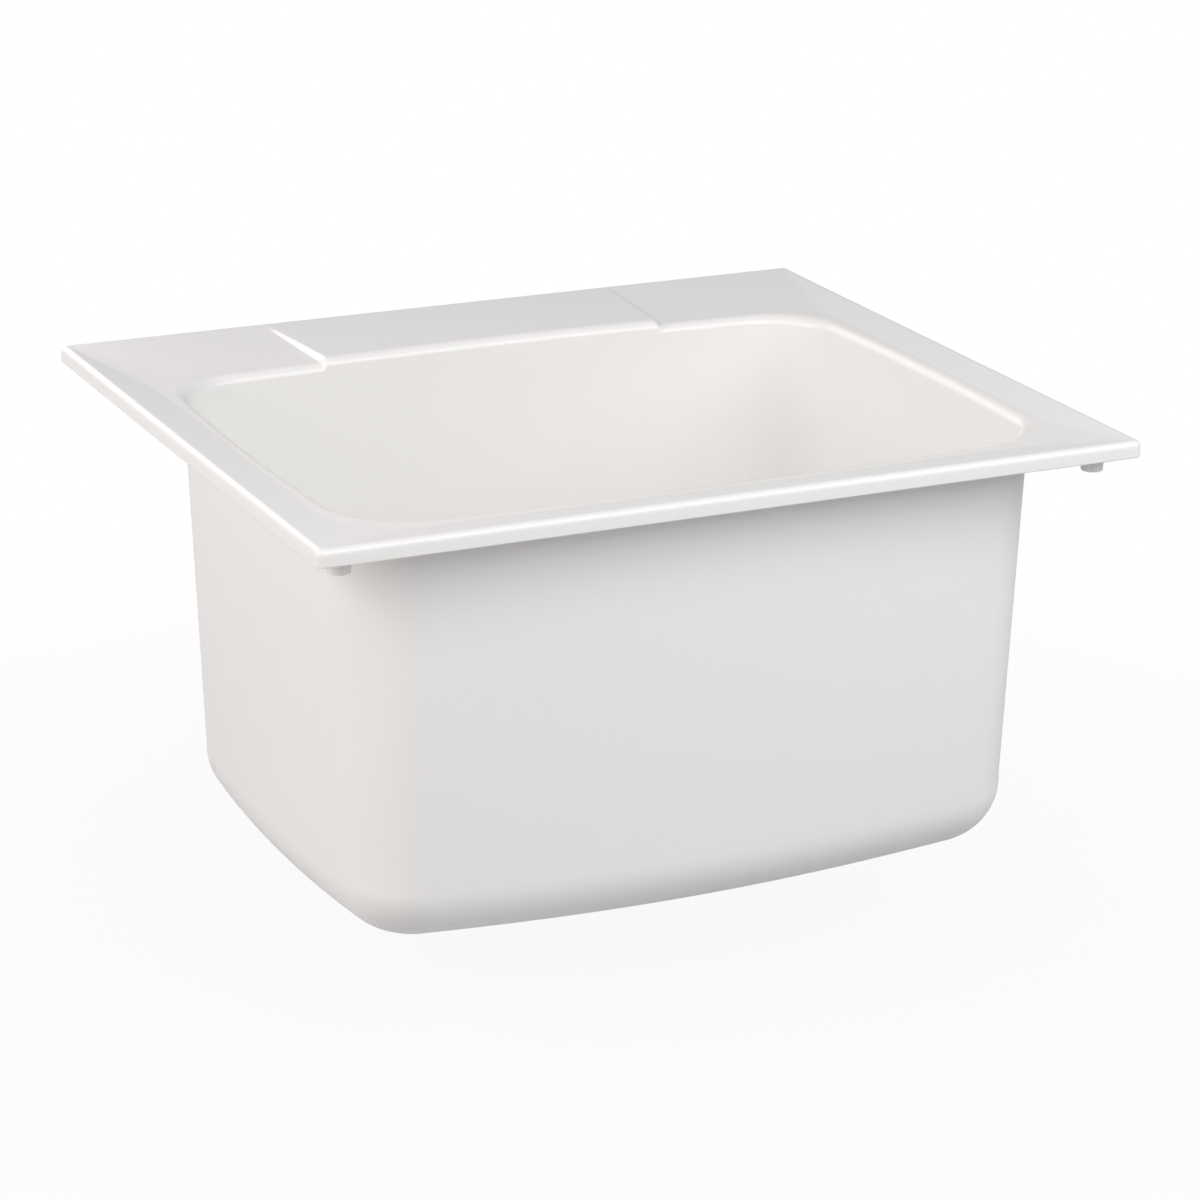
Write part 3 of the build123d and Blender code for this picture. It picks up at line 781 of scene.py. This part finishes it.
class SINK_OT_posts(bpy.types.Operator):
    """Model the clamp posts under the rim and their threaded brass inserts"""

    bl_idname = "sink.posts"
    bl_label = "Clamp posts and inserts"

    def execute(self, context):
        sizes = context.scene.sink_posts
        roof = tub_high.z - context.scene.sink_tub.ledge_wall
        around = even(post_columns)
        posts = []
        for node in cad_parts:
            if not node.startswith("insert_"):
                continue
            low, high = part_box(node)
            middle = np.array([(low.x + high.x) / 2, (low.y + high.y) / 2, 0])
            radius = (high.x - low.x) / 2
            hole = radius + sizes.clear
            hole_end = high.z + sizes.spare
            end = low.z + sizes.foot_rise
            under = roof - sizes.flare_top
            inside_ledge = under + sizes.bury
            section = rounded([(0, hole_end), (hole, hole_end), (hole, end), (sizes.foot, end),
                               (sizes.neck, under - sizes.flare_height), (sizes.flare, under + crisp),
                               (sizes.flare, inside_ledge), (0, inside_ledge)],
                              [crisp, thin, sizes.foot_edge, sizes.flare_bend, crisp, crisp])
            posts.append(turned(section, around) + middle)

            bore, wide = sizes.bore, sizes.bore + sizes.chamfer
            top, foot = high.z - sizes.chamfer, end + sizes.chamfer
            thread = screw(bore, foot, top, sizes.pitch, sizes.depth, around)
            outside = rounded([(bore, top), (wide, high.z), (radius, high.z), (radius, end),
                               (wide, end), (bore, foot)], sizes.edge, steps=3)
            skin("brass_" + node, np.concatenate([thread, turned(outside, around)]) + middle,
                 body="sink", slot="insert_brass", replaced=[node], wrap_rows=True)
        skin("clamp_posts", *posts, body="sink", slot="tub_plastic")
        return {"FINISHED"}


class SINK_OT_strainer(bpy.types.Operator):
    """Model the flanged strainer with its threads and pierced plate"""

    bl_idname = "sink.strainer"
    bl_label = "Strainer"

    def execute(self, context):
        sizes = context.scene.sink_drain
        along = 16
        top, under, end, rim = strainer_high.z, gasket_high.z, strainer_low.z, strainer_high.x
        cone_top = top - sizes.straight
        plate_top = cone_top - sizes.cone
        plate_bottom = plate_top - sizes.plate
        bore = sizes.cup - sizes.cup_wall
        plate_edge = sizes.outlet_bore - sizes.plate_rim
        cup_root, outlet_root = sizes.cup - sizes.depth, sizes.outlet - sizes.depth
        outlet_start, outlet_stop = end + sizes.relief, plate_bottom - sizes.relief
        cup_start, cup_stop = cone_top - sizes.cup_wall / 2, under - 2 * sizes.relief

        inside = rounded([(plate_edge, plate_bottom), (sizes.outlet_bore, plate_bottom),
                          (sizes.outlet_bore, end), (outlet_root, end), (outlet_root, outlet_start)],
                         [eased, crisp, crisp])
        outlet = screw(outlet_root, outlet_start, outlet_stop, sizes.pitch, sizes.depth)
        waist = rounded([(outlet_root, outlet_stop), (outlet_root, plate_bottom),
                         (cup_root, cone_top - sizes.cup_wall), (cup_root, cup_start)],
                        [blunt, crisp])
        cup = screw(cup_root, cup_start, cup_stop, sizes.pitch, sizes.depth)
        above = rounded([(cup_root, cup_stop), (cup_root, under), (rim - broad, under),
                         (rim, under + keen), (rim - soft, top),
                         (bore + sizes.lead_in, top - sizes.flange_dish), (bore, top - 2 * sizes.lead_in),
                         (bore, cone_top), (sizes.outlet_bore + sizes.cup_wall, plate_top),
                         (plate_edge, plate_top)],
                        [crisp, soft, eased, blunt, full, full, full, broad], steps=8)
        shell = np.concatenate([turned(inside), outlet, turned(waist), cup, turned(above)])
        catch = rounded([(sizes.plate_hub, plate_top), (sizes.catch, plate_top),
                         (sizes.catch, plate_bottom), (sizes.plate_hub, plate_bottom)], keen)
        holes = pierced(sizes.plate_holes, (0, plate_top), (1, 0), sizes.plate_hub, plate_edge,
                        sizes.plate_ring, sizes.plate_hole, sizes.plate_hole, drain_columns, along,
                        sizes.plate)
        skin("spun_strainer", shell, turned(catch), *holes, body="sink", slot="strainer_steel",
             replaced=["strainer_body"])
        return {"FINISHED"}


class SINK_OT_rings(bpy.types.Operator):
    """Model the gaskets, the friction ring and the tailpiece's washer"""

    bl_idname = "sink.rings"
    bl_label = "Gaskets and rings"

    def execute(self, context):
        sizes = context.scene.sink_drain
        rings = (("soft", "flange_gasket", "gasket_rubber", sizes.hole, crisp),
                 ("thick", "under_gasket", "gasket_rubber", sizes.ring_bore, sizes.gasket_edge),
                 ("fibre", "friction_ring", "ring_fibre", sizes.ring_bore, thin),
                 ("flat", "tailpiece_washer", "washer_plastic", sizes.tail, eased))
        for word, node, slot, bore, edge in rings:
            section = ring(bore, *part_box(node), edge)
            skin(word + "_" + node, turned(section), body="sink", slot=slot, replaced=[node],
                 wrap_rows=True)
        return {"FINISHED"}


def lugged(root, tip, half_width, number, steps=6):
    """Radius and angle of the columns round a ring with square lugs, their corners rounded.

    One lug's outline is drawn in x and y from midway before it to midway after it, then repeated.
    """
    columns_between = 5
    clear = 1.25
    foot = np.sqrt(root ** 2 - half_width ** 2)
    half_turn = np.pi / number
    between = np.linspace(-half_turn, -clear * half_width / root, columns_between, endpoint=False)
    before = np.stack([root * np.cos(between), root * np.sin(between)], axis=-1)
    corners = [(foot, -half_width), (tip, -half_width), (tip, half_width), (foot, half_width)]
    after = before[::-1] * (1, -1)
    points = np.concatenate([before, corners, after])
    radii = [hair] * (len(before) - 1) + [blunt] * len(corners) + [hair] * (len(after) - 1)
    x, y = rounded(points, radii, steps)[:-1].T
    radius = np.hypot(x, y)
    turn = np.arctan2(y, x)
    starts = full_turn * np.arange(number)[:, None] / number
    return np.tile(radius, number), (turn + starts).ravel()


class SINK_OT_nuts(bpy.types.Operator):
    """Model the lugged locknut and the many-sided slip nut"""

    bl_idname = "sink.nuts"
    bl_label = "Locknut and slip nut"

    def execute(self, context):
        self.locknut(context.scene.sink_drain)
        self.slip_nut(context.scene.sink_drain)
        return {"FINISHED"}

    def locknut(self, sizes):
        """Cast ring whose outside follows its lugs. The inside is threaded."""
        low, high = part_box("locknut")
        bore = sizes.cup + sizes.nut_gap
        wide = bore + sizes.nut_chamfer
        outer = high.x - sizes.lug_reach
        radius, turn = lugged(outer, high.x, sizes.lug_width / 2, sizes.lugs)
        top, foot = high.z - sizes.nut_chamfer, low.z + sizes.nut_chamfer
        faces = rounded([(bore, top), (wide, high.z), (outer, high.z), (outer, low.z), (wide, low.z),
                         (bore, foot)], [trim, soft, soft, trim])
        share = np.clip((faces[:, :1] - wide - soft) / (outer - wide - 2 * soft), 0, 1)
        thread = screw(bore, foot, top, sizes.pitch, sizes.depth, turn)
        skin("cast_locknut", np.concatenate([thread, turned(faces, turn, share * (radius - outer))]),
             body="sink", slot="locknut_zinc", replaced=["locknut"], wrap_rows=True)

    def slip_nut(self, sizes):
        """Nut whose flats end in a turned bevel: its radius is the smaller of the two."""
        low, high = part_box("slip_nut")
        side_columns = 24
        turn = even(side_columns * sizes.nut_sides)
        side_turn = full_turn / sizes.nut_sides
        flat = sizes.nut_flats / 2
        flats = flat / np.cos((turn + side_turn / 2) % side_turn - side_turn / 2)
        bore = sizes.outlet + sizes.nut_gap
        wide = bore + sizes.nut_chamfer
        lip_bore = sizes.tail + sizes.tail_gap
        lip_top = low.z + sizes.nut_lip
        top, foot = high.z - sizes.nut_chamfer, lip_top + sizes.nut_chamfer
        faces = rounded([(bore, top), (wide, high.z), (flat, high.z), (flat, low.z), (lip_bore, low.z),
                         (lip_bore + sizes.nut_lip, lip_top), (bore, lip_top), (bore, foot)],
                        [trim, eased, eased, keen, keen, keen])
        faces = filled(faces, crisp)
        share = np.clip((faces[:, :1] - flat + broad) / broad, 0, 1)
        from_end = np.minimum(high.z - faces[:, 1:], faces[:, 1:] - low.z)
        bevel = flat + sizes.nut_bevel + from_end
        pushed = share * (np.minimum(flats, bevel) - flat)
        thread = screw(bore, foot, top, sizes.pitch, sizes.depth, turn)
        skin("plated_slip_nut", np.concatenate([thread, turned(faces, turn, pushed)]), body="sink",
             slot="slip_nut_chrome", replaced=["slip_nut"], wrap_rows=True)


class SINK_OT_tailpiece(bpy.types.Operator):
    """Model the thin plated tailpiece with its flange"""

    bl_idname = "sink.tailpiece"
    bl_label = "Tailpiece"

    def execute(self, context):
        sizes = context.scene.sink_drain
        low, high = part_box("tailpiece")
        bore = sizes.tail - sizes.tail_wall
        under = high.z - sizes.tail_wall
        section = rounded([(bore, high.z), (bore, low.z), (sizes.tail, low.z),
                           (sizes.tail, under - sizes.nut_lip), (sizes.tail + sizes.nut_lip, under),
                           (high.x, under), (high.x, high.z)],
                          [smooth, trim, trim, mild, mild, keen, keen], closed=True)
        skin("plated_tailpiece", turned(section), body="sink", slot="tailpiece_chrome",
             replaced=["tailpiece"], wrap_rows=True)
        return {"FINISHED"}


class SINK_OT_basket(bpy.types.Operator):
    """Model the pressed basket with its slotted wall and pierced floor"""

    bl_idname = "sink.basket"
    bl_label = "Basket"

    def execute(self, context):
        sizes = context.scene.sink_basket
        columns = basket_columns
        inner_along, outer_along, slot_along = 12, 6, 14
        sheet = sizes.sheet
        top, bottom, rim = basket_high.z, basket_low.z, basket_high.x
        floor = bottom + sheet
        start, stop = np.array([sizes.foot, floor]), np.array([sizes.top, top])
        run = (stop - start) / np.linalg.norm(stop - start)
        lean, climb = run
        outwards = sheet * np.array([climb, -lean])
        slot_reach = sizes.slot_reach / climb
        middle = (start + stop) / 2
        low = middle - (slot_reach + sizes.slot_margin) * run
        high = middle + (slot_reach + sizes.slot_margin) * run
        heel = start + outwards
        heel = heel + (bottom - heel[1]) / climb * run
        shoulder = stop + outwards
        shoulder = shoulder + (top - sheet - shoulder[1]) / climb * run

        hole = sizes.floor_hole
        floor_start, level = (0, floor), (1, 0)
        grids = [
            *pierced(sizes.inner_holes, floor_start, level, sizes.hub, sizes.between,
                     sizes.inner_ring, hole, hole, columns, inner_along, sheet),
            *pierced(sizes.outer_holes, floor_start, level, sizes.between, sizes.floor_edge,
                     sizes.outer_ring, hole, hole, columns, outer_along, sheet),
            *pierced(sizes.slots, start, run, low[0], high[0], middle[0], sizes.slot_half, slot_reach,
                     columns, slot_along, sheet),
        ]
        strips = [
            rounded([(sizes.hub, floor), (sizes.stem, floor), (sizes.stem, bottom), (sizes.hub, bottom)],
                    keen),
            rounded([(sizes.floor_edge, floor), start, low], sizes.heel - sheet),
            rounded([(sizes.floor_edge, bottom), heel, low + outwards], sizes.heel),
            rounded([high, stop, (rim, top), (rim, top - sizes.lip), (rim - sheet, top - sizes.lip),
                     (rim - sheet, top - sheet), shoulder, high + outwards],
                    [broad, smooth, trim, trim, crisp, soft]),
        ]
        grids += [turned(strip, even(columns)) for strip in strips]
        skin("pressed_basket", *grids, body="basket", slot="basket_steel", replaced=["basket_cup"])
        return {"FINISHED"}


class SINK_OT_stem(bpy.types.Operator):
    """Model the basket's stem, washer, rubber stopper and knob"""

    bl_idname = "sink.stem"
    bl_label = "Stem and knob"

    def execute(self, context):
        scene = context.scene
        sizes = scene.sink_basket
        around = even(basket_columns)
        washer_low, washer_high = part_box("basket_washer")
        section = ring(sizes.stem, washer_low, washer_high, trim)
        skin("turned_washer", turned(section, around), body="basket", slot="basket_steel",
             replaced=["basket_washer"], wrap_rows=True)

        low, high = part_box("basket_seal")
        foot = scene.sink_drain.outlet_bore + scene.sink_drain.cup_wall
        section = rounded([(sizes.stem, low.z), (foot, low.z), (high.x, high.z), (sizes.stem, high.z)],
                          crisp, closed=True)
        skin("rubber_stopper", turned(section), body="basket", slot="seal_rubber",
             replaced=["basket_seal"], wrap_rows=True)

        knob_low, knob_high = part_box("basket_knob")
        tip, stem_top = (bound.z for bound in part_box("basket_stem"))
        shoulder = tip + sizes.bulb_length
        section = rounded([(0, tip), (sizes.stem, tip), (sizes.bulb, tip + sizes.bulb_taper),
                           (sizes.bulb, shoulder), (sizes.stem, shoulder + sizes.bulb_taper),
                           (sizes.stem, washer_high.z), (sizes.collar, washer_high.z),
                           (sizes.collar, knob_low.z), (sizes.stem, knob_low.z), (sizes.stem, stem_top),
                           (0, stem_top)], crisp)
        skin("turned_stem", turned(section, around), body="basket", slot="stem_steel",
             replaced=["basket_stem"])

        top, reach = knob_high.z, knob_high.x
        brow = top - sizes.knob_brow
        neck = brow - sizes.knob_brow - sizes.knob_flare
        section = rounded([(0, stem_top), (sizes.stem, stem_top), (sizes.stem, knob_low.z),
                           (sizes.knob_foot, knob_low.z), (sizes.knob_foot, neck),
                           (reach, brow - sizes.knob_brow), (reach, brow), (reach - sizes.knob_edge, top),
                           (reach - sizes.knob_ring * sizes.knob_edge,
                            top - sizes.knob_slope * sizes.knob_dish),
                           (0, top - sizes.knob_dish)],
                          [keen, keen, eased, full, sizes.knob_round, smooth, blunt, blunt], steps=8)
        skin("lift_knob", turned(section, around), body="basket", slot="knob_plastic",
             replaced=["basket_knob"])
        return {"FINISHED"}


def seen_white(tree, share):
    """Factor that is 1 for what the camera sees, and a share of that for what reflections show."""
    path = add(tree, "LightPath").outputs
    dimmed = add(tree, "Math", path["Is Glossy Ray"], share, operation="MULTIPLY").outputs["Value"]
    return add(tree, "Math", path["Is Camera Ray"], dimmed, operation="MAXIMUM").outputs["Value"]


def floor_white(sizes):
    """White floor that shows a faint shade near the sink and is plain white further off."""
    made = bpy.data.materials.new("floor_white")
    made.use_nodes = True
    tree = made.node_tree
    surface = tree.nodes["Principled BSDF"]
    feed(tree, surface.inputs["Base Color"], (*[sizes.floor_tone] * 3, 1))
    feed(tree, surface.inputs["Roughness"], sizes.floor_rough)
    glow = add(tree, "Emission", Strength=1.0)
    place = add(tree, "TexCoord").outputs["Object"]
    reach = add(tree, "VectorMath", place, operation="LENGTH").outputs["Value"]
    fade = add(tree, "MapRange", Value=reach, From_Min=sizes.shade_near, From_Max=sizes.shade_far,
               To_Min=sizes.floor_glow, To_Max=1.0).outputs["Result"]
    share = add(tree, "Math", seen_white(tree, sizes.reflected), fade, operation="MULTIPLY")
    mix = add(tree, "MixShader", share.outputs["Value"], surface.outputs["BSDF"], glow.outputs["Emission"])
    feed(tree, tree.nodes["Material Output"].inputs["Surface"], mix.outputs["Shader"])
    return made


def view_axes(turn, rise):
    """Right, up and backward axes of what looks at the sink from a turn round it and a rise."""
    back = np.array([np.sin(turn) * np.cos(rise), -np.cos(turn) * np.cos(rise), np.sin(rise)])
    right = np.array([np.cos(turn), np.sin(turn), 0])
    return right, np.cross(back, right), back


def placed(place, right, up, back):
    """Matrix of a lamp or camera at a place, from its three axes."""
    axes = np.stack([right, up, back], axis=1)
    return Matrix.Translation(place) @ Matrix(axes.tolist()).to_4x4()


class SINK_OT_stage(bpy.types.Operator):
    """Set the floor, the plain light and the camera"""

    bl_idname = "sink.stage"
    bl_label = "Stage"

    def execute(self, context):
        scene = context.scene
        sizes = scene.sink_stage
        scene.view_settings.view_transform = "Standard"
        self.set_camera(scene, sizes)
        self.set_sky(scene, sizes)
        for name in ("front", "right", "back", "left"):
            self.set_lamp(scene, sizes, name)
        bpy.data.lights["left"].color = sizes.left_tint
        reach = sizes.floor_reach
        z = cad_low.z
        mesh = bpy.data.meshes.new("floor")
        mesh.from_pydata([(-reach, -reach, z), (reach, -reach, z), (reach, reach, z), (-reach, reach, z)],
                         [], [(0, 1, 2, 3)])
        mesh.materials.append(floor_white(sizes))
        floor = bpy.data.objects.new("floor", mesh)
        scene.collection.objects.link(floor)
        return {"FINISHED"}

    def set_camera(self, scene, sizes):
        """Camera at the photograph's angle. Its axes are turned, raised and then rolled."""
        level, upright, back = view_axes(sizes.turn, sizes.rise)
        right = np.cos(sizes.roll) * level + np.sin(sizes.roll) * upright
        up = np.cos(sizes.roll) * upright - np.sin(sizes.roll) * level
        place = sizes.aim_right * right - sizes.aim_down * up + sizes.distance * back
        place[2] += tub_high.z
        data = bpy.data.cameras.new("camera")
        data.angle = sizes.field
        camera = bpy.data.objects.new("camera", data)
        scene.collection.objects.link(camera)
        camera.matrix_world = placed(place, right, up, back)
        scene.camera = camera

    def set_sky(self, scene, sizes):
        """Plain light from all round, which the camera sees as white and reflections in part."""
        world = bpy.data.worlds.new("sky")
        world.use_nodes = True
        scene.world = world
        tree = world.node_tree
        background = tree.nodes["Background"].inputs
        strength = add(tree, "MapRange", Value=seen_white(tree, sizes.reflected), To_Min=sizes.sky,
                       To_Max=1.0)
        feed(tree, background["Color"], (1, 1, 1, 1))
        feed(tree, background["Strength"], strength.outputs["Result"])

    def set_lamp(self, scene, sizes, name):
        """Square lamp that shines at the sink, with the power, turn and rise of its name."""
        data = bpy.data.lights.new(name, "AREA")
        data.energy = getattr(sizes, name + "_power")
        data.size = sizes.lamp_size
        lamp = bpy.data.objects.new(name, data)
        scene.collection.objects.link(lamp)
        right, up, back = view_axes(getattr(sizes, name + "_turn"), getattr(sizes, name + "_rise"))
        middle = np.array([0, 0, (cad_low.z + cad_high.z) / 2])
        lamp.matrix_world = placed(middle + sizes.lamp_distance * back, right, up, back)


groups = {"sink_tub": TubSizes, "sink_posts": PostSizes, "sink_drain": DrainSizes,
          "sink_basket": BasketSizes, "sink_colours": Colours, "sink_stage": StageSizes}
operators = (SINK_OT_tub, SINK_OT_posts, SINK_OT_strainer, SINK_OT_rings, SINK_OT_nuts,
             SINK_OT_tailpiece, SINK_OT_basket, SINK_OT_stem, SINK_OT_stage)


class SINK_PT_sink(bpy.types.Panel):
    """Lists the pieces, the stage and their sizes"""

    bl_idname = "SINK_PT_sink"
    bl_label = "Utility sink"
    bl_space_type = "VIEW_3D"
    bl_region_type = "UI"
    bl_category = "Utility sink"

    def draw(self, context):
        for operator in operators:
            self.layout.operator(operator.bl_idname)
        for name, group in groups.items():
            box = self.layout.box()
            for size in group.__annotations__:
                box.prop(getattr(context.scene, name), size)


def register():
    for each in (*groups.values(), *operators, SINK_PT_sink):
        bpy.utils.register_class(each)
    for name, group in groups.items():
        setattr(bpy.types.Scene, name, bpy.props.PointerProperty(type=group))


def unregister():
    for name in groups:
        delattr(bpy.types.Scene, name)
    for each in (SINK_PT_sink, *operators, *groups.values()):
        bpy.utils.unregister_class(each)


def main():
    register()
    bpy.ops.sink.tub()
    bpy.ops.sink.posts()
    bpy.ops.sink.strainer()
    bpy.ops.sink.rings()
    bpy.ops.sink.nuts()
    bpy.ops.sink.tailpiece()
    bpy.ops.sink.basket()
    bpy.ops.sink.stem()
    bpy.ops.sink.stage()


if __name__ == "__main__":
    main()
